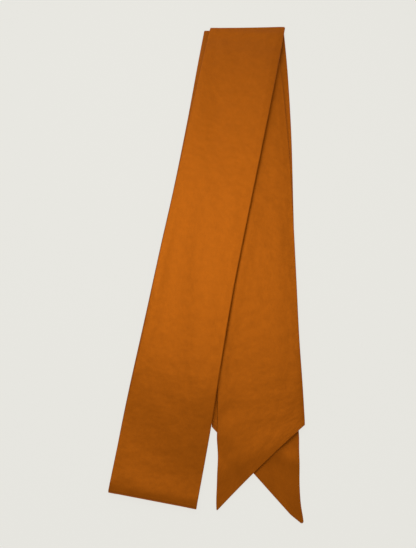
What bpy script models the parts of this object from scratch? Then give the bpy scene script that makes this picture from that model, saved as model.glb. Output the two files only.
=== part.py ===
"""A skinny wild rag in satin, folded flat.

One long strip of two plies, cut slantwise at both ends, is folded at its middle, and the doubled strip is
folded once more. Four stretches then lie on each other, lowest first: tail_under, tail_over, arm_under and
arm_over. The strip runs tail_under, top fold, arm_over, bottom fold, arm_under, inner fold, tail_over.

Each stretch is a grid bent to a plan and a height, with a wall from Solidify and soft rims from Bevel. The
plan comes from a short table of sections. The height comes from the stretches beneath: a stretch rises by
one layer where it lies on another, and sinks back to the floor past that one's edge.
"""

import math
from collections import namedtuple

import bmesh
import bpy
import numpy as np

MM = 0.001

# The cloth
STRIP_WIDTH = 70 * MM
WALL = 1.0 * MM
LAYER_GAP = 0.3 * MM
LAYER = WALL + LAYER_GAP
RIM_BEVEL = 0.3 * MM
TIP_BLEND = 10 * MM  # how far before a pointed end its rounding starts to pull the rows back

# How a stretch comes down past the edge of one beneath it
LEVEL_PAST_EDGE = 2 * MM
RIM_SPACING = 1.5 * MM
PAST_FOLD = 3 * MM  # how far a stretch's outline is drawn on past its folds

# Folds and the seams between nodes
LIP = 2 * MM  # what a node keeps of the next stretch, past its fold
SEAM_GAP = 0.3 * MM
FOLD_STEPS = 6

# Grid
COLUMNS = 14
EDGE_CROWDING = 0.6  # 0 spaces the columns evenly, 1 crowds them at both edges
LOOK_AHEAD = 0.5 * MM  # the step that a middle line's heading is measured over
RIM_ANGLE = math.radians(60)  # edges that turn by more than this are rims

# A section crosses the strip from edge to edge: where its middle lies, in mm, its slope in degrees, and
# how much of the strip's width lies flat there.
Section = namedtuple("Section", "y x slope spread")

# A stretch: its sections from one end to the other, the rows of its grid, how far it takes to come down
# past an edge beneath it, the stretches beneath it, and the radius of its pointed end's tip.
Stretch = namedtuple("Stretch", "sections rows descent beneath tip_radius")

TOP_FOLD = Section(224.4, 37.9, 0.5, 1.01)
INNER_FOLD = Section(221.8, 32.0, 0.0, 1.01)
BOTTOM_FOLD = Section(-209.3, -43.1, -10.2, 1.006)

STRETCHES = {
    "tail_under": Stretch(
        sections=(
            TOP_FOLD,
            Section(170.0, 40.2, 1.0, 1.0),
            Section(120.0, 41.3, 0.5, 1.0),
            Section(40.0, 40.8, -0.5, 1.0),
            Section(-60.0, 39.4, -0.5, 1.0),
            Section(-120.0, 38.3, -4.0, 1.0),
            Section(-192.2, 37.6, -46.9, 1.0),
        ),
        rows=22,
        descent=12 * MM,
        beneath=(),
        tip_radius=1.2 * MM,
    ),
    "tail_over": Stretch(
        sections=(
            INNER_FOLD,
            Section(189.0, 32.6, 2.0, 1.0),
            Section(157.0, 35.4, 4.0, 1.0),
            Section(126.0, 37.0, 2.5, 1.0),
            Section(93.0, 38.7, 2.0, 1.0),
            Section(37.0, 39.9, 0.5, 1.0),
            Section(-23.0, 40.4, 0.3, 1.0),
            Section(-83.0, 41.3, 1.0, 1.0),
            Section(-128.0, 42.6, 6.0, 1.0),
            Section(-185.7, 42.4, 42.9, 1.01),
        ),
        rows=48,
        descent=12 * MM,
        beneath=("tail_under",),
        tip_radius=0.6 * MM,
    ),
    "arm_under": Stretch(
        sections=(
            BOTTOM_FOLD,
            Section(-150.0, -33.7, -10.5, 1.0),
            Section(-60.0, -17.0, -11.0, 1.0),
            Section(0.0, -5.6, -11.0, 1.0),
            Section(40.0, 1.9, -10.5, 1.0),
            Section(120.0, 15.5, -9.0, 1.0),
            Section(180.0, 25.4, -6.0, 1.0),
            INNER_FOLD,
        ),
        rows=32,
        descent=25 * MM,
        beneath=("tail_under", "tail_over"),
        tip_radius=0.0,
    ),
    "arm_over": Stretch(
        sections=(
            TOP_FOLD,
            Section(180.0, 29.7, -9.0, 1.01),
            Section(120.0, 17.8, -11.0, 1.01),
            Section(40.0, 2.0, -11.5, 0.99),
            Section(-40.0, -13.8, -11.5, 0.97),
            Section(-90.0, -22.6, -11.0, 0.975),
            Section(-150.0, -33.0, -10.5, 1.0),
            BOTTOM_FOLD,
        ),
        rows=36,
        descent=25 * MM,
        beneath=("tail_under", "tail_over", "arm_under"),
        tip_radius=0.0,
    ),
}

SATIN_COLOUR = (0.38, 0.09, 0.007, 1.0)
SATIN_ROUGHNESS = 0.42


def smooth_curve(stations, values, at):
    """A cubic curve through a table's values, with its slopes from the neighbouring rows."""
    slopes = np.gradient(values, stations)
    row = np.clip(np.searchsorted(stations, at, side="right") - 1, 0, len(stations) - 2)
    span = stations[row + 1] - stations[row]
    t = (at - stations[row]) / span
    start = (1 + 2 * t) * (1 - t) ** 2 * values[row] + t * (1 - t) ** 2 * span * slopes[row]
    end = t**2 * (3 - 2 * t) * values[row + 1] - t**2 * (1 - t) * span * slopes[row + 1]
    return start + end


def length_of(stretch):
    """The length of a stretch along its middle line."""
    middles = np.array([(section.x, section.y) for section in stretch.sections]) * MM
    return np.linalg.norm(np.diff(middles, axis=0), axis=1).sum()


def tip_cutback(from_tip_edge, angle, radius):
    """How far a rounded tip falls short of the sharp one, along the strip, at a distance from its edge."""
    run_to_touch = radius / math.tan(angle / 2)
    bow = np.sqrt(np.maximum(radius**2 - (from_tip_edge - radius) ** 2, 0.0))
    cutback = run_to_touch - bow - from_tip_edge / math.tan(angle)
    return np.where(from_tip_edge < run_to_touch * math.sin(angle), cutback, 0.0)


def plan(stretch, along, across):
    """Points of a stretch seen from above, at shares of its length (rows) and its width (columns)."""
    along, across = np.asarray(along, float), np.asarray(across, float)
    y, x, slope, spread = np.array(stretch.sections, float).T
    y, x, slope = y * MM, x * MM, np.radians(slope)
    run = np.concatenate([[0], np.cumsum(np.hypot(np.diff(x), np.diff(y)))])
    at = along * run[-1]
    middle = np.stack([smooth_curve(run, x, at), smooth_curve(run, y, at)], axis=1)
    ahead = np.stack([smooth_curve(run, x, at + LOOK_AHEAD), smooth_curve(run, y, at + LOOK_AHEAD)], axis=1)
    heading = (ahead - middle) / np.linalg.norm(ahead - middle, axis=1, keepdims=True)
    turned = smooth_curve(run, slope, at)
    section = np.stack([np.cos(turned), np.sin(turned)], axis=1)
    squareness = np.abs(heading[:, 0] * section[:, 1] - heading[:, 1] * section[:, 0])
    length = STRIP_WIDTH * smooth_curve(run, spread, at) / squareness
    points = middle[:, None] + section[:, None] * ((across - 0.5) * length[:, None])[:, :, None]
    if stretch.tip_radius:
        tip_angle = math.pi / 2 - abs(slope[-1])
        from_tip_edge = STRIP_WIDTH * (across if slope[-1] > 0 else 1 - across)
        near_end = np.clip(1 - (run[-1] - at) / TIP_BLEND, 0, 1)
        cutback = near_end[:, None] * tip_cutback(from_tip_edge, tip_angle, stretch.tip_radius)
        points -= heading[:, None] * cutback[:, :, None]
    return points


def outline(stretch):
    """A stretch's edge, seen from above, as a closed run of close points that takes in its folds."""
    length = length_of(stretch)
    first = -PAST_FOLD / length
    last = 1.0 if stretch.tip_radius else 1 - first
    along = np.linspace(first, last, int(length / RIM_SPACING))
    across = np.linspace(0, 1, int(STRIP_WIDTH / RIM_SPACING))
    sides = plan(stretch, along, (0, 1))
    first_end, last_end = plan(stretch, (first, last), across)
    return np.concatenate([sides[:, 0], last_end, sides[::-1, 1], first_end[::-1]])


def inside(points, closed_line):
    """Which points lie within a closed line, by counting the times a level ray crosses it."""
    start, end = closed_line, np.roll(closed_line, -1, axis=0)
    x, y = points[..., 0, None], points[..., 1, None]
    straddles = (start[:, 1] > y) != (end[:, 1] > y)
    rise = np.where(end[:, 1] == start[:, 1], 1.0, end[:, 1] - start[:, 1])
    crossing = start[:, 0] + (y - start[:, 1]) / rise * (end[:, 0] - start[:, 0])
    return (straddles & (x < crossing)).sum(axis=-1) % 2 == 1


def cover(points, own_outline, lower_outline, descent):
    """1 where a stretch lies on a lower one, falling softly to 0 past the edges that it crosses."""
    rim = lower_outline[inside(lower_outline, own_outline)]
    reach = np.linalg.norm(points[..., None, :] - rim, axis=-1).min(axis=-1)
    fall = np.clip((reach - LEVEL_PAST_EDGE) / descent, 0, 1)
    falloff = 1 - fall**2 * (3 - 2 * fall)
    return np.where(inside(points, lower_outline), 1.0, falloff)


def surface(name, along, across):
    """The middle of a stretch's wall, as rows of points in space."""
    stretch = STRETCHES[name]
    flat = plan(stretch, along, across)
    height = np.full(flat.shape[:2], WALL / 2)
    for lower in stretch.beneath:
        height += LAYER * cover(flat, outline(stretch), outline(STRETCHES[lower]), stretch.descent)
    return np.concatenate([flat, height[:, :, None]], axis=2)


def fold(upper_row, lower_row, outward):
    """Rows of a half-round turn, from just past the upper row to just before the lower one."""
    turn = np.linspace(0, math.pi, FOLD_STEPS + 1)[1:-1, None, None]
    centre = (upper_row + lower_row) / 2
    radius = (upper_row - lower_row)[:, 2:] / 2
    up = np.array([0.0, 0.0, 1.0])
    return centre + radius * (np.cos(turn) * up + np.sin(turn) * outward)


def facing(section):
    """The level direction square to a section, on its +Y side."""
    slope = math.radians(section.slope)
    return np.array([-math.sin(slope), math.cos(slope), 0.0])


def columns():
    """Shares of the strip's width, closer together near its edges."""
    even = np.linspace(0, 1, COLUMNS + 1)
    return even - EDGE_CROWDING * np.sin(2 * np.pi * even) / (2 * np.pi)


def shares(name, start=0.0):
    """Evenly spaced shares of a stretch's length, from a distance past its first end."""
    stretch = STRETCHES[name]
    return np.linspace(start / length_of(stretch), 1, stretch.rows + 1)


def lip(name):
    """The shares of a stretch's length where a node's lip starts, at the fold, and ends."""
    return np.array([0.0, LIP / length_of(STRETCHES[name])])


def strip_rows():
    """Each node's rows, in the order that the strip runs."""
    across = columns()
    past_lip = LIP + SEAM_GAP
    top_lip = surface("tail_under", lip("tail_under"), across)
    arm_over = surface("arm_over", shares("arm_over"), across)
    bottom_lip = surface("arm_under", lip("arm_under"), across)
    arm_under = surface("arm_under", shares("arm_under", past_lip), across)
    inner_lip = surface("tail_over", lip("tail_over"), across)
    top_turn = fold(arm_over[0], top_lip[0], facing(TOP_FOLD))
    bottom_turn = fold(arm_over[-1], bottom_lip[0], -facing(BOTTOM_FOLD))
    inner_turn = fold(arm_under[-1], inner_lip[0], facing(INNER_FOLD))
    return {
        "tail_under": surface("tail_under", shares("tail_under", past_lip), across),
        "tail_over": surface("tail_over", shares("tail_over", past_lip), across),
        "arm_under": np.concatenate([arm_under, inner_turn, inner_lip]),
        "arm_over": np.concatenate([top_lip[::-1], top_turn[::-1], arm_over, bottom_turn, bottom_lip]),
    }


def satin():
    material = bpy.data.materials.new("copper_satin")
    material.use_nodes = True
    shader = material.node_tree.nodes["Principled BSDF"]
    shader.inputs["Base Color"].default_value = SATIN_COLOUR
    shader.inputs["Roughness"].default_value = SATIN_ROUGHNESS
    shader.inputs["Metallic"].default_value = 0.0
    material.diffuse_color = SATIN_COLOUR
    return material


def cloth(name, rows, material, collection):
    """A grid laid over a node's rows of points, with a wall and soft rims."""
    mesh = bpy.data.meshes.new(name)
    grid = bmesh.new()
    bmesh.ops.create_grid(grid, x_segments=rows.shape[1] - 1, y_segments=rows.shape[0] - 1, size=0.5)
    grid.to_mesh(mesh)
    grid.free()
    mesh.vertices.foreach_set("co", rows.ravel())
    mesh.materials.append(material)
    piece = bpy.data.objects.new(name, mesh)
    collection.objects.link(piece)
    wall = piece.modifiers.new("wall", "SOLIDIFY")
    wall.thickness = WALL
    wall.offset = 0.0
    wall.use_even_offset = True
    rims = piece.modifiers.new("rims", "BEVEL")
    rims.width = RIM_BEVEL
    rims.segments = 1
    rims.limit_method = "ANGLE"
    rims.angle_limit = RIM_ANGLE
    rims.use_clamp_overlap = False
    mesh.shade_smooth()
    mesh.set_sharp_from_angle(angle=RIM_ANGLE)
    return piece


def main():
    for old in list(bpy.data.objects):
        bpy.data.objects.remove(old, do_unlink=True)
    collection = bpy.data.collections.new("wild_rag")
    bpy.context.scene.collection.children.link(collection)
    material = satin()
    for name, rows in strip_rows().items():
        cloth(name, rows, material, collection)


main()
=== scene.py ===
"""A skinny wild rag in copper satin, folded flat on a pale table: how it looks, in the order of its folds.

The real scarf is one long strip. Two plies of satin are sewn together round the edge, turned right side
out and pressed, so no stitch shows. The strip is folded at its middle and then once more, so four stretches
lie on each other, lowest first: tail_under, tail_over, arm_under and arm_over.
"""

import math
from collections import namedtuple

import bpy
import numpy as np
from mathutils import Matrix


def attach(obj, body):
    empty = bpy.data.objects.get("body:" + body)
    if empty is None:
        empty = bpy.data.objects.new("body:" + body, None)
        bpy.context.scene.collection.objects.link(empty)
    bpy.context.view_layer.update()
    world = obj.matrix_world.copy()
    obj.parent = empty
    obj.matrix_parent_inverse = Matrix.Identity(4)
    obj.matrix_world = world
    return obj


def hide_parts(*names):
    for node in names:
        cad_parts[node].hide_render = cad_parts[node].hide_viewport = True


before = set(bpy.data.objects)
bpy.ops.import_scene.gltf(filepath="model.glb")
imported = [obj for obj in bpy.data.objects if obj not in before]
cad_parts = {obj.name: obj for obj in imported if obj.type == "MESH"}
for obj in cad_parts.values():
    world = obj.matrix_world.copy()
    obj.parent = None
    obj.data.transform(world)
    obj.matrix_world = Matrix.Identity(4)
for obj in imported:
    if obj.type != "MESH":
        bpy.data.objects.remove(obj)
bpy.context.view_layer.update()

# ---- The table, the camera and the studio lights ----
# The scarf lies on a pale seamless table. The camera looks down on it from the side of its pointed tails,
# under one large soft box overhead and a second one at the upper left.

CAMERA_PLACE = (0.0, -0.2331, 0.6219)
CAMERA_TILT = math.radians(18.65)
LENS_MM = 50.0

TABLE_HALF = 4.0
TABLE_DROP = 0.0003  # a hair below the cloth, so that their faces never share a plane
TABLE_COLOUR = (0.815, 0.807, 0.761, 1.0)
TABLE_GLOW = 0.93  # the share of its brightness that it gives itself

AIR_COLOUR = (1.0, 0.99, 0.97, 1.0)
AIR_STRENGTH = 0.40

Softbox = namedtuple("Softbox", "name place width height watts")
SOFTBOXES = (
    Softbox("overhead_softbox", (-0.04, 0.12, 0.42), 0.30, 0.30, 0.92),
    Softbox("far_softbox", (-0.237, 0.651, 0.40), 0.40, 0.40, 0.84),
)


def stand_camera():
    """A 50 mm camera that looks down and away from the tails, at the photograph's angle."""
    camera_data = bpy.data.cameras.new("camera")
    camera_data.lens = LENS_MM
    camera = bpy.data.objects.new("camera", camera_data)
    camera.location = CAMERA_PLACE
    camera.rotation_euler = (CAMERA_TILT, 0.0, 0.0)
    bpy.context.scene.collection.objects.link(camera)
    bpy.context.scene.camera = camera


def spread_table():
    """A flat square under the scarf. Most of its brightness is its own glow, so its shadows stay faint."""
    corners = [(x, y, -TABLE_DROP) for x, y in ((-1, -1), (1, -1), (1, 1), (-1, 1))]
    corners = [(x * TABLE_HALF, y * TABLE_HALF, z) for x, y, z in corners]
    mesh = bpy.data.meshes.new("table")
    mesh.from_pydata(corners, [], [(0, 1, 2, 3)])
    table = bpy.data.objects.new("table", mesh)
    bpy.context.scene.collection.objects.link(table)
    paint = bpy.data.materials.new("pale_table")
    paint.use_nodes = True
    shader = paint.node_tree.nodes["Principled BSDF"]
    shader.inputs["Base Color"].default_value = [c * (1 - TABLE_GLOW) for c in TABLE_COLOUR[:3]] + [1.0]
    shader.inputs["Roughness"].default_value = 1.0
    shader.inputs["Specular IOR Level"].default_value = 0.0
    shader.inputs["Emission Color"].default_value = TABLE_COLOUR
    shader.inputs["Emission Strength"].default_value = TABLE_GLOW
    mesh.materials.append(paint)


def hang_softbox(softbox):
    """A rectangular soft box that faces the scarf's middle: turned by atan2(level distance, height)."""
    lamp_data = bpy.data.lights.new(softbox.name, "AREA")
    lamp_data.shape = "RECTANGLE"
    lamp_data.size = softbox.width
    lamp_data.size_y = softbox.height
    lamp_data.energy = softbox.watts
    lamp = bpy.data.objects.new(softbox.name, lamp_data)
    x, y, z = softbox.place
    lamp.location = softbox.place
    lamp.rotation_euler = (0.0, math.atan2(math.hypot(x, y), z), math.atan2(y, x))
    bpy.context.scene.collection.objects.link(lamp)


def fill_air():
    """An even soft light from all round. The camera sees it in the table's tone, so no horizon shows."""
    air = bpy.data.worlds.new("studio_air")
    air.use_nodes = True
    nodes, links = air.node_tree.nodes, air.node_tree.links
    light = nodes["Background"]
    light.inputs["Color"].default_value = AIR_COLOUR
    light.inputs["Strength"].default_value = AIR_STRENGTH
    backdrop = nodes.new("ShaderNodeBackground")
    backdrop.inputs["Color"].default_value = TABLE_COLOUR
    backdrop.inputs["Strength"].default_value = 1.0
    path = nodes.new("ShaderNodeLightPath")
    seen = nodes.new("ShaderNodeMixShader")
    links.new(path.outputs["Is Camera Ray"], seen.inputs["Fac"])
    links.new(light.outputs["Background"], seen.inputs[1])
    links.new(backdrop.outputs["Background"], seen.inputs[2])
    links.new(seen.outputs["Shader"], nodes["World Output"].inputs["Surface"])
    bpy.context.scene.world = air


stand_camera()
spread_table()
for box in SOFTBOXES:
    hang_softbox(box)
fill_air()
bpy.context.scene.view_settings.view_transform = "Standard"

# ---- tail_under: the strip's first end ----
# The lowest stretch of the satin strip, 70 mm wide, runs from just past the top fold to an end that is cut
# slantwise to a point. It lies flat on the table. This section also holds how any stretch is cut and laid.

MM = 0.001
STRIP_WIDTH = 70 * MM
WALL = 1.0 * MM  # two plies with a little air, as in the solids
LAYER = 1.3 * MM  # from one stretch's middle to the next one's
PAST_FOLD = 3 * MM  # how far a stretch's outline is drawn on past its folds
FOLD_LIP = 2 * MM  # what a node keeps of the next stretch, past its fold
SEAM_GAP = 0.3 * MM  # between a node's end and the lip that the next node keeps

TIP_BLEND = 10 * MM  # how far before a cut end its rounding and bow start
SNUB_REACH = 9 * MM  # how far in from a tip its cut end is snubbed
LOOK_AHEAD = 0.5 * MM  # the step along a stretch from which its heading is taken
OUTLINE_SPACING = 1.0 * MM
SIDE_POINTS = 500  # along each side that heights are measured from
FOLD_POINTS = 140

COLUMNS = 56
CROWDING = 0.97  # 0 spaces the grid evenly, 1 crowds it fully at its edges

RIM_RADIUS = 0.5 * MM  # how far in from an edge the wall reaches its full thickness
FIELD_HALF = 0.41 * MM  # half the wall over the open cloth
SEAM_HALF = 0.49 * MM  # half the wall over the seam allowance, which is folded inside
ALLOWANCE = 6.5 * MM  # how far in from the sides the seam allowance reaches
ALLOWANCE_STEP = 2.0 * MM

PUFF_REACH = 18 * MM  # how far in from the sides the cloth rises to its puff
EDGE_RUN_ON = 20 * MM  # how far the sides are drawn on past a fold, to measure from
FOLD_OUT = 2.0 * MM  # how far the longest fold bulges past its rows

# A section crosses the strip from edge to edge: where its middle lies, in mm, its slope in degrees, and
# how much of the strip's width lies flat there.
Section = namedtuple("Section", "y x slope spread")

# A nudge moves one edge a little: the edge, where, how far it reaches up and down, and how far out, in mm.
Nudge = namedtuple("Nudge", "edge y reach out")

# A swell is a soft mound in the cloth, or a trough if its rise is below 0: its middle, how far it reaches
# along and across, how its length is turned from +X in degrees, and its rise, all in mm.
Swell = namedtuple("Swell", "x y length width turn rise")

# A press flattens a stretch towards a fold: how far in it reaches, in mm, and its share of the rise.
Press = namedtuple("Press", "reach share")

# A stretch: its sections from end to end, its nudges and swells, the rows of its grid, its loft over its
# layer and the puff of its middle over that, how its first and last fold are pressed, how far it takes to
# come down past an edge beneath it, the stretches beneath it, and its tip's radius, snub and end's bow.
Stretch = namedtuple(
    "Stretch",
    "sections nudges swells rows loft puff pressed descent beneath tip_radius snub bow",
)

TOP_FOLD = Section(223.3, 37.9, 0.5, 1.01)

STRETCHES = {
    "tail_under": Stretch(
        sections=(
            TOP_FOLD,
            Section(170.0, 40.4, 1.0, 1.005),
            Section(120.0, 41.4, 0.5, 1.003),
            Section(40.0, 40.8, -0.5, 1.0),
            Section(-60.0, 39.4, -0.5, 1.0),
            Section(-120.0, 38.3, -4.0, 1.0),
            Section(-191.8, 37.6, -47.9, 1.0),
        ),
        nudges=(
            Nudge("right", -162.0, 8.0, 0.4),
            Nudge("right", -199.0, 12.0, -0.5),
            Nudge("right", -226.0, 9.0, 3.0),
        ),
        swells=(
            Swell(72.0, 188.0, 41.0, 8.0, 70.0, 0.6),
            Swell(54.0, -169.0, 24.0, 5.0, 50.0, 0.8),
            Swell(63.0, -177.0, 45.0, 8.0, 155.0, 1.4),
            Swell(49.0, -190.0, 21.0, 10.0, 25.0, 0.6),
            Swell(67.0, -203.0, 26.0, 10.0, 80.0, 0.8),
        ),
        rows=260,
        loft=0.0,
        puff=0.2 * MM,
        pressed=(Press(60.0, 1.0), None),
        descent=12 * MM,
        beneath=(),
        tip_radius=1.2 * MM,
        snub=3.2 * MM,
        bow=0.0,
    ),
}


def smooth_curve(stations, values, at):
    """A cubic through a table's values, with its slopes from the neighbouring rows."""
    slopes = np.gradient(values, stations)
    row = np.clip(np.searchsorted(stations, at, side="right") - 1, 0, len(stations) - 2)
    span = stations[row + 1] - stations[row]
    t = (at - stations[row]) / span
    start = (1 + 2 * t) * (1 - t) ** 2 * values[row] + t * (1 - t) ** 2 * span * slopes[row]
    end = t**2 * (3 - 2 * t) * values[row + 1] - t**2 * (1 - t) * span * slopes[row + 1]
    return start + end


def soft_step(t):
    """0 below 0 and 1 above 1, with 3t^2 - 2t^3 between."""
    t = np.clip(t, 0, 1)
    return t**2 * (3 - 2 * t)


def length_of(stretch):
    """The length of a stretch along its middle line."""
    middles = np.array([(section.x, section.y) for section in stretch.sections]) * MM
    return np.linalg.norm(np.diff(middles, axis=0), axis=1).sum()


def tip_cutback(from_tip_edge, angle, radius):
    """How far a rounded tip falls short of the sharp one: the sharp point's run less the circle's bow."""
    run_to_touch = radius / math.tan(angle / 2)
    bow = np.sqrt(np.maximum(radius**2 - (from_tip_edge - radius) ** 2, 0.0))
    cutback = run_to_touch - bow - from_tip_edge / math.tan(angle)
    return np.where(from_tip_edge < run_to_touch * math.sin(angle), cutback, 0.0)


def plan(stretch, along, across):
    """A stretch seen from above: its middle line, plus a section through it times the share across it.

    A cut end is drawn in by its tip's rounding, by its bow * 4 c (1 - c), c being the share across, and by
    its snub * (1 - from the tip's edge / SNUB_REACH). A nudge moves an edge by out * exp(-(dy/reach)^2)."""
    along, across = np.asarray(along, float), np.asarray(across, float)
    y, x, slope, spread = np.array(stretch.sections, float).T
    y, x, slope = y * MM, x * MM, np.radians(slope)
    run = np.concatenate([[0], np.cumsum(np.hypot(np.diff(x), np.diff(y)))])
    at = along * run[-1]
    middle = np.stack([smooth_curve(run, x, at), smooth_curve(run, y, at)], axis=1)
    ahead = np.stack([smooth_curve(run, x, at + LOOK_AHEAD), smooth_curve(run, y, at + LOOK_AHEAD)], axis=1)
    heading = (ahead - middle) / np.linalg.norm(ahead - middle, axis=1, keepdims=True)
    turned = smooth_curve(run, slope, at)
    section = np.stack([np.cos(turned), np.sin(turned)], axis=1)
    squareness = np.abs(heading[:, 0] * section[:, 1] - heading[:, 1] * section[:, 0])
    length = STRIP_WIDTH * smooth_curve(run, spread, at) / squareness
    points = middle[:, None] + section[:, None] * ((across - 0.5) * length[:, None])[:, :, None]
    if stretch.tip_radius:
        tip_angle = math.pi / 2 - abs(slope[-1])
        from_tip_edge = STRIP_WIDTH * (across if slope[-1] > 0 else 1 - across)
        cutback = tip_cutback(from_tip_edge, tip_angle, stretch.tip_radius)
        cutback = cutback + stretch.bow * 4 * across * (1 - across)
        cutback = cutback + stretch.snub * np.clip(1 - from_tip_edge / SNUB_REACH, 0, 1)
        near_end = np.clip(1 - (run[-1] - at) / TIP_BLEND, 0, 1)
        points -= heading[:, None] * (near_end[:, None] * cutback)[:, :, None]
    for nudge in stretch.nudges:
        share = across**3 if nudge.edge == "right" else -((1 - across) ** 3)
        fade = np.exp(-(((points[:, :, 1] - nudge.y * MM) / (nudge.reach * MM)) ** 2))
        points = points + section[:, None] * (nudge.out * MM * share * fade)[:, :, None]
    return points


def outline(stretch):
    """A stretch's edge, seen from above, as a closed run of close points that takes in its folds."""
    length = length_of(stretch)
    first = -PAST_FOLD / length
    last = 1.0 if stretch.tip_radius else 1 - first
    along = np.linspace(first, last, int(length / OUTLINE_SPACING))
    across = np.linspace(0, 1, int(STRIP_WIDTH / OUTLINE_SPACING))
    sides = plan(stretch, along, (0, 1))
    first_end, last_end = plan(stretch, (first, last), across)
    return np.concatenate([sides[:, 0], last_end, sides[::-1, 1], first_end[::-1]])


def inside(points, closed_line):
    """Which points lie within a closed line, by counting the times a level ray crosses it."""
    start, end = closed_line, np.roll(closed_line, -1, axis=0)
    x, y = points[..., 0, None], points[..., 1, None]
    straddles = (start[:, 1] > y) != (end[:, 1] > y)
    rise = np.where(end[:, 1] == start[:, 1], 1.0, end[:, 1] - start[:, 1])
    crossing = start[:, 0] + (y - start[:, 1]) / rise * (end[:, 0] - start[:, 0])
    return (straddles & (x < crossing)).sum(axis=-1) % 2 == 1


def relief(points, swells):
    """The sum of the swells' rise * exp(-(a/length)^2 - (b/width)^2), where a is along one and b across."""
    height = np.zeros(points.shape[:-1])
    for swell in swells:
        turn = math.radians(swell.turn)
        x, y = points[..., 0] / MM - swell.x, points[..., 1] / MM - swell.y
        a = x * math.cos(turn) + y * math.sin(turn)
        b = y * math.cos(turn) - x * math.sin(turn)
        height += swell.rise * MM * np.exp(-((a / swell.length) ** 2) - (b / swell.width) ** 2)
    return height


def distance(points, line):
    """How far each point is from the nearest one of a line of close points."""
    nearest = np.empty(points.shape[:-1])
    for row, own in enumerate(points):
        nearest[row] = np.linalg.norm(own[:, None] - line, axis=-1).min(axis=-1)
    return nearest


def rise(points, stretch):
    """How high a stretch stands above its layer: its loft, and its puff * soft_step(from its sides).

    A press takes off its share of both at its fold, and share * (1 - from the fold / reach)^2 near it."""
    run_on = EDGE_RUN_ON / length_of(stretch)
    along = np.linspace(-run_on, 1.0 if stretch.tip_radius else 1 + run_on, SIDE_POINTS)
    sides = plan(stretch, along, (0, 1)).reshape(-1, 2)
    raised = stretch.loft + stretch.puff * soft_step(distance(points, sides) / PUFF_REACH)
    folds = plan(stretch, (0, 1), np.linspace(-0.5, 1.5, FOLD_POINTS))
    for fold, press in zip(folds, stretch.pressed):
        if press:
            away = np.clip(distance(points, fold) / (press.reach * MM), 0, 1)
            raised = raised * (1 - press.share * (1 - away) ** 2)
    return raised


def cover(points, own_outline, lower_outline, descent):
    """1 where a stretch lies on a lower one, and 1 - soft_step(reach/descent) past the edges it crosses."""
    rim = lower_outline[inside(lower_outline, own_outline)]
    reach = np.where(inside(points, lower_outline), 0.0, distance(points, rim))
    return 1 - soft_step(reach / descent)


def surface(name, along, across):
    """The middle of a stretch's wall: its plan, raised by its rise, its swells and each stretch beneath."""
    stretch = STRETCHES[name]
    flat = plan(stretch, along, across)
    height = WALL / 2 + rise(flat, stretch) + relief(flat, stretch.swells)
    for lower_name in stretch.beneath:
        lower = STRETCHES[lower_name]
        lies_on = cover(flat, outline(stretch), outline(lower), stretch.descent)
        height += lies_on * (LAYER + rise(flat, lower))
    return np.concatenate([flat, height[:, :, None]], axis=2)


def crowded(count, start=0.0, end=1.0):
    """Shares from start to end, closer at both ends: t less the crowding times sin(2 pi t) / 2 pi."""
    even = np.linspace(0, 1, count + 1)
    return start + (end - start) * (even - CROWDING * np.sin(2 * np.pi * even) / (2 * np.pi))


def from_edges(middle, across):
    """The run of a grid's rows, and how far each point is from the nearer side and the nearer end.

    The run adds up the steps along the middle column. The nearer of two is min(c, 1 - c) of the whole."""
    steps = np.linalg.norm(np.diff(middle[:, middle.shape[1] // 2], axis=0), axis=1)
    run = np.concatenate([[0], np.cumsum(steps)])
    from_side = np.minimum(across, 1 - across) * STRIP_WIDTH
    from_end = np.minimum(run, run[-1] - run)
    return run, np.broadcast_arrays(from_side[None], from_end[:, None])


def half_wall(from_side, from_end):
    """Half the wall: full over the seam allowance, less over the open cloth, and quarter-round at rims.

    The quarter-round is sqrt(1 - (1 - inset / RIM_RADIUS)^2), which comes down to 0."""
    seam = 1 - soft_step((from_side - ALLOWANCE) / ALLOWANCE_STEP)
    half = FIELD_HALF + (SEAM_HALF - FIELD_HALF) * seam
    for inset in (from_side, from_end):
        half = half * np.sqrt(1 - (1 - np.clip(inset / RIM_RADIUS, 0, 1)) ** 2)
    return half


def lay_cloth(name, middle, across):
    """A closed shell: the middle surface moved by half the wall along its normal, to both sides.

    The two sides share their outermost points, where the wall is 0, so no rim stands open."""
    run, (from_side, from_end) = from_edges(middle, across)
    normal = np.cross(np.gradient(middle, axis=1), np.gradient(middle, axis=0))
    normal /= np.linalg.norm(normal, axis=2, keepdims=True)
    offset = normal * half_wall(from_side, from_end)[:, :, None]
    rows, columns = middle.shape[:2]
    front = np.arange(rows * columns).reshape(rows, columns)
    back = front.copy()
    back[1:-1, 1:-1] = rows * columns + np.arange((rows - 2) * (columns - 2)).reshape(rows - 2, columns - 2)
    upper = (middle + offset).reshape(-1, 3)
    lower = (middle - offset)[1:-1, 1:-1].reshape(-1, 3)
    points = np.concatenate([upper, lower])
    front_faces = np.stack([front[:-1, :-1], front[:-1, 1:], front[1:, 1:], front[1:, :-1]], axis=-1)
    back_faces = np.stack([back[:-1, :-1], back[1:, :-1], back[1:, 1:], back[:-1, 1:]], axis=-1)
    faces = np.concatenate([front_faces.reshape(-1, 4), back_faces.reshape(-1, 4)])
    place_in_strip = np.stack(np.broadcast_arrays(across[None] * STRIP_WIDTH, run[:, None]), axis=-1)
    place_in_strip = place_in_strip.reshape(-1, 2)
    on_back = place_in_strip.reshape(rows, columns, 2)[1:-1, 1:-1].reshape(-1, 2)
    strip_map = np.concatenate([place_in_strip, on_back])[faces.ravel()]
    mesh = bpy.data.meshes.new(name)
    mesh.from_pydata(points, [], faces.tolist())
    mesh.uv_layers.new(name="strip").uv.foreach_set("vector", strip_map.astype(np.float32).ravel())
    mesh.shade_smooth()
    cloth = bpy.data.objects.new(name, mesh)
    bpy.context.scene.collection.objects.link(cloth)
    return cloth


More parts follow.
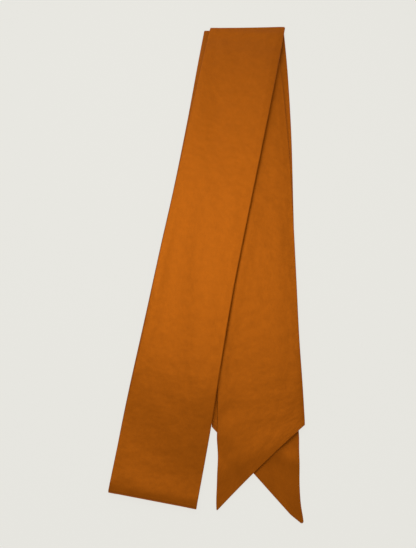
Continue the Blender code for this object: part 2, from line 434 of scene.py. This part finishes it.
SATIN_LIGHT = (0.470, 0.115, 0.0049)
SATIN_DEEP = (0.292, 0.069, 0.0029)
SATIN_SMOOTH = 0.42  # the roughness between the threads
SATIN_ROUGH = 0.62
SATIN_METALLIC = 0.45
SATIN_SPECULAR = 0.3
SATIN_GLEAM = (1.0, 0.5, 0.1, 1.0)
SHEEN_WEIGHT = 0.03
SHEEN_ROUGHNESS = 0.5
SHEEN_TINT = (1.0, 0.5, 0.2, 1.0)

EVEN_GRAIN = (1.0, 1.0, 1.0)
FLOAT_GRAIN = (9000.0, 450.0, 1.0)  # warp floats, in counts to the metre: 0.11 mm across, about 2 mm along
PICK_GRAIN = (350.0, 6000.0, 1.0)
FLOAT_DEPTH = 0.02 * MM
CLOUD_COUNT = 140.0  # clouds to the metre
UNDULATION_COUNT = 75.0
UNDULATION_DEPTH = 0.5 * MM


def weave_satin(name, share=1.0):
    """Copper satin: fine warp floats along the strip, faint clouds, soft undulations and a coloured sheen.

    The clouds run from the deep to the light colour, both times the share; a share below 1 makes a darker
    copy, which is painted shade. Threads are floats * picks."""
    deep = tuple(share * part for part in SATIN_DEEP) + (1.0,)
    light = tuple(share * part for part in SATIN_LIGHT) + (1.0,)
    satin = bpy.data.materials.new(name)
    satin.use_nodes = True
    nodes, links = satin.node_tree.nodes, satin.node_tree.links
    shader = nodes["Principled BSDF"]
    shader.inputs["Metallic"].default_value = SATIN_METALLIC
    shader.inputs["Specular IOR Level"].default_value = SATIN_SPECULAR
    shader.inputs["Specular Tint"].default_value = SATIN_GLEAM
    shader.inputs["Sheen Weight"].default_value = SHEEN_WEIGHT
    shader.inputs["Sheen Roughness"].default_value = SHEEN_ROUGHNESS
    shader.inputs["Sheen Tint"].default_value = SHEEN_TINT

    strip = nodes.new("ShaderNodeUVMap")
    strip.uv_map = "strip"

    def grain(counts, scale, detail, roughness=0.5):
        """Noise of scale times counts times the place on the strip, which is in metres."""
        stretched = nodes.new("ShaderNodeMapping")
        stretched.inputs["Scale"].default_value = counts
        links.new(strip.outputs["UV"], stretched.inputs["Vector"])
        noise = nodes.new("ShaderNodeTexNoise")
        noise.inputs["Scale"].default_value = scale
        noise.inputs["Detail"].default_value = detail
        noise.inputs["Roughness"].default_value = roughness
        links.new(stretched.outputs["Vector"], noise.inputs["Vector"])
        return noise.outputs["Fac"]

    def between(factor, low, high, kind="RGBA"):
        """The low one plus the factor times (high - low)."""
        mix = nodes.new("ShaderNodeMix")
        mix.data_type = kind
        sockets = [socket for socket in mix.inputs if socket.enabled]
        sockets[1].default_value = low
        sockets[2].default_value = high
        links.new(factor, sockets[0])
        return [socket for socket in mix.outputs if socket.enabled][0]

    floats = grain(FLOAT_GRAIN, 1.0, 2.0)
    picks = grain(PICK_GRAIN, 1.0, 2.0)
    clouds = grain(EVEN_GRAIN, CLOUD_COUNT, 6.0, 0.8)
    undulation = grain(EVEN_GRAIN, UNDULATION_COUNT, 2.0)
    threads = nodes.new("ShaderNodeMath")
    threads.operation = "MULTIPLY"
    links.new(floats, threads.inputs[0])
    links.new(picks, threads.inputs[1])

    gloss = between(threads.outputs["Value"], SATIN_SMOOTH, SATIN_ROUGH, "FLOAT")
    links.new(between(clouds, deep, light), shader.inputs["Base Color"])
    links.new(gloss, shader.inputs["Roughness"])

    undulate = nodes.new("ShaderNodeBump")
    undulate.inputs["Distance"].default_value = UNDULATION_DEPTH
    links.new(undulation, undulate.inputs["Height"])
    thread_bump = nodes.new("ShaderNodeBump")
    thread_bump.inputs["Distance"].default_value = FLOAT_DEPTH
    links.new(threads.outputs["Value"], thread_bump.inputs["Height"])
    links.new(undulate.outputs["Normal"], thread_bump.inputs["Normal"])
    links.new(thread_bump.outputs["Normal"], shader.inputs["Normal"])
    return satin


copper_satin = weave_satin("woven_copper_satin")
across = crowded(COLUMNS)
past_lip = (FOLD_LIP + SEAM_GAP) / length_of(STRETCHES["tail_under"])
rows = crowded(STRETCHES["tail_under"].rows, past_lip)
tail_under = lay_cloth("tail_under_satin", surface("tail_under", rows, across), across)
tail_under.data.materials.append(copper_satin)
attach(tail_under, "root")
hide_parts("tail_under")

# ---- tail_over: the strip's other end ----
# The same satin strip's last stretch, cut slantwise the same way, so its point falls at the other side. It
# lies on tail_under and crosses its cut end. Its first two swells are troughs beneath arm_over's edge.

INNER_FOLD = Section(221.8, 32.0, 0.0, 1.01)

STRETCHES["tail_over"] = Stretch(
    sections=(
        INNER_FOLD,
        Section(189.0, 32.6, 2.0, 1.0),
        Section(157.0, 35.4, 4.0, 1.0),
        Section(126.0, 37.0, 2.5, 1.0),
        Section(93.0, 38.7, 2.0, 1.0),
        Section(37.0, 40.0, 0.5, 1.0),
        Section(-23.0, 40.6, 0.3, 1.003),
        Section(-83.0, 41.3, 1.0, 1.0),
        Section(-128.0, 42.6, 6.0, 1.0),
        Section(-185.4, 42.4, 42.9, 1.01),
    ),
    nudges=(
        Nudge("left", -162.0, 7.0, 0.5),
        Nudge("left", -179.0, 10.0, -0.6),
        Nudge("left", -212.0, 10.0, 0.7),
    ),
    swells=(
        Swell(42.5, 80.0, 85.0, 5.0, 78.7, -0.8),
        Swell(11.5, -70.0, 75.0, 5.0, 80.0, -0.8),
        Swell(37.0, -176.0, 90.0, 11.0, 25.0, 0.8),
        Swell(35.0, 7.0, 62.0, 16.0, 70.0, 0.2),
        Swell(28.0, -108.0, 45.0, 18.0, 135.0, -0.4),
        Swell(16.0, -171.0, 30.0, 5.0, 135.0, -0.5),
        Swell(20.0, -142.0, 23.0, 10.0, 15.0, -0.4),
        Swell(68.0, -156.0, 66.0, 18.0, 75.0, 0.5),
        Swell(22.0, -106.0, 50.0, 13.0, 100.0, -0.5),
        Swell(71.0, 16.0, 76.0, 15.0, 105.0, -0.3),
        Swell(30.0, -7.0, 105.0, 5.0, 80.0, 0.4),
        Swell(65.0, 39.0, 110.0, 7.0, 90.0, 0.2),
        Swell(30.0, -78.0, 54.0, 30.0, 90.0, -0.4),
    ),
    rows=280,
    loft=1.2 * MM,
    puff=0.2 * MM,
    pressed=(Press(60.0, 1.0), None),
    descent=12 * MM,
    beneath=("tail_under",),
    tip_radius=0.6 * MM,
    snub=0.0,
    bow=1.5 * MM,
)

past_lip = (FOLD_LIP + SEAM_GAP) / length_of(STRETCHES["tail_over"])
rows = crowded(STRETCHES["tail_over"].rows, past_lip)
tail_over = lay_cloth("tail_over_satin", surface("tail_over", rows, across), across)
tail_over.data.materials.append(copper_satin)
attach(tail_over, "root")
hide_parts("tail_over")

# ---- arm_under: from the bottom fold up to the inner fold ----
# The satin strip's third stretch. It turns over at the inner fold, at the top, and runs on as tail_over.
# Only a sliver of it shows, along the left edge of arm_over, and its swells are all on its hidden part.

BOTTOM_FOLD = Section(-208.6, -43.2, -10.4, 1.003)
FOLD_STEPS = 14
LIP_ROWS = 8
PAINTED_SHADE_SHARE = 0.80  # of the satin's colour: painted shade, darkening the sliver that shows beside arm_over's left edge, where arm_over's shadow falls

STRETCHES["arm_under"] = Stretch(
    sections=(
        BOTTOM_FOLD,
        Section(-150.0, -33.8, -10.5, 1.003),
        Section(-60.0, -17.8, -11.0, 0.983),
        Section(0.0, -6.5, -11.0, 0.988),
        Section(40.0, 1.5, -10.5, 0.995),
        Section(120.0, 15.6, -9.0, 1.003),
        Section(180.0, 25.6, -6.0, 1.016),
        INNER_FOLD,
    ),
    nudges=(),
    swells=(
        Swell(12.0, 120.0, 70.0, 18.0, 80.0, -0.4),
        Swell(-42.0, -150.0, 60.0, 20.0, 125.0, 0.4),
        Swell(-20.0, -60.0, 50.0, 15.0, 95.0, 0.5),
        Swell(4.0, 30.0, 40.0, 12.0, 60.0, 0.3),
    ),
    rows=240,
    loft=0.8 * MM,
    puff=0.0,
    pressed=(Press(8.0, 1.0), Press(60.0, 1.0)),
    descent=25 * MM,
    beneath=("tail_under", "tail_over"),
    tip_radius=0.0,
    snub=0.0,
    bow=0.0,
)


def turn_over(upper_row, lower_row, section, side):
    """A pressed fold: the rows' middle + cos(turn) * half * up + sin(turn) * min(half, FOLD_OUT) * outward.

    Half is half the rows' height apart, and the turn runs from 0 to pi. Outward is level and square to the
    section, on its +Y side or, where side is -1, on its -Y side."""
    slope = math.radians(section.slope)
    outward = side * np.array([-math.sin(slope), math.cos(slope), 0.0])
    up = np.array([0.0, 0.0, 1.0])
    turn = np.linspace(0, math.pi, FOLD_STEPS + 1)[1:-1, None, None]
    centre = (upper_row + lower_row) / 2
    half = (upper_row - lower_row)[:, 2:] / 2
    return centre + np.cos(turn) * half * up + np.sin(turn) * np.minimum(half, FOLD_OUT) * outward


def lip(name):
    """The shares of a stretch's length that another node keeps, from its fold to its seam."""
    return np.linspace(0.0, FOLD_LIP / length_of(STRETCHES[name]), LIP_ROWS)


past_lip = (FOLD_LIP + SEAM_GAP) / length_of(STRETCHES["arm_under"])
rows = surface("arm_under", crowded(STRETCHES["arm_under"].rows, past_lip), across)
inner_lip = surface("tail_over", lip("tail_over"), across)
inner_turn = turn_over(rows[-1], inner_lip[0], INNER_FOLD, 1)
arm_under = lay_cloth("arm_under_satin", np.concatenate([rows, inner_turn, inner_lip]), across)
# a darker copy of the satin, whose darkness is painted shade: arm_over's shadow on the sliver that shows
arm_under.data.materials.append(weave_satin("painted_shade_copper_satin", PAINTED_SHADE_SHARE))
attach(arm_under, "root")
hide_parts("arm_under")

# ---- arm_over: from the top fold down to the bottom fold ----
# The satin strip's second stretch, which lies uppermost and shows whole. It turns over at the top fold and
# runs on as tail_under, and turns over at the bottom fold and runs on as arm_under.

STRETCHES["arm_over"] = Stretch(
    sections=(
        TOP_FOLD,
        Section(180.0, 29.7, -9.0, 1.01),
        Section(120.0, 17.9, -11.0, 1.007),
        Section(40.0, 2.2, -11.5, 0.99),
        Section(-40.0, -13.3, -11.5, 0.979),
        Section(-90.0, -21.9, -11.0, 0.981),
        Section(-150.0, -32.8, -10.5, 1.015),
        BOTTOM_FOLD,
    ),
    nudges=(),
    swells=(
        Swell(46.0, 218.0, 77.0, 5.0, -5.0, 0.6),
        Swell(-49.0, -209.0, 96.0, 6.0, -10.0, 0.9),
        Swell(-46.0, -202.0, 38.0, 5.0, -5.0, -0.1),
        Swell(-19.0, -214.0, 97.0, 10.0, -10.0, 0.8),
        Swell(-54.0, -155.0, 48.0, 28.0, 125.0, -0.8),
        Swell(-56.0, -161.0, 75.0, 20.0, 135.0, -0.8),
        Swell(-38.0, -67.0, 97.0, 14.0, 95.0, 0.9),
        Swell(-26.0, -105.0, 100.0, 18.0, -5.0, 0.2),
        Swell(-55.0, -205.0, 103.0, 17.0, 165.0, 1.0),
        Swell(1.0, 24.0, 110.0, 7.0, 100.0, 0.2),
        Swell(14.0, 128.0, 91.0, 25.0, 85.0, -1.3),
        Swell(58.0, 157.0, 99.0, 13.0, 80.0, 1.2),
        Swell(-42.0, -20.0, 108.0, 9.0, 80.0, 1.4),
        Swell(-5.0, 67.0, 110.0, 17.0, 80.0, -1.1),
        Swell(29.0, 207.0, 106.0, 9.0, -10.0, -0.5),
    ),
    rows=260,
    loft=1.6 * MM,
    puff=0.4 * MM,
    pressed=(Press(25.0, 0.6), Press(12.0, 0.45)),
    descent=45 * MM,
    beneath=("tail_under", "tail_over", "arm_under"),
    tip_radius=0.0,
    snub=0.0,
    bow=0.0,
)

rows = surface("arm_over", crowded(STRETCHES["arm_over"].rows), across)
top_lip = surface("tail_under", lip("tail_under"), across)
top_turn = turn_over(rows[0], top_lip[0], TOP_FOLD, 1)
bottom_lip = surface("arm_under", lip("arm_under"), across)
bottom_turn = turn_over(rows[-1], bottom_lip[0], BOTTOM_FOLD, -1)
rows = np.concatenate([top_lip[::-1], top_turn[::-1], rows, bottom_turn, bottom_lip])
arm_over = lay_cloth("arm_over_satin", rows, across)
arm_over.data.materials.append(copper_satin)
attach(arm_over, "root")
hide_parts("arm_over")
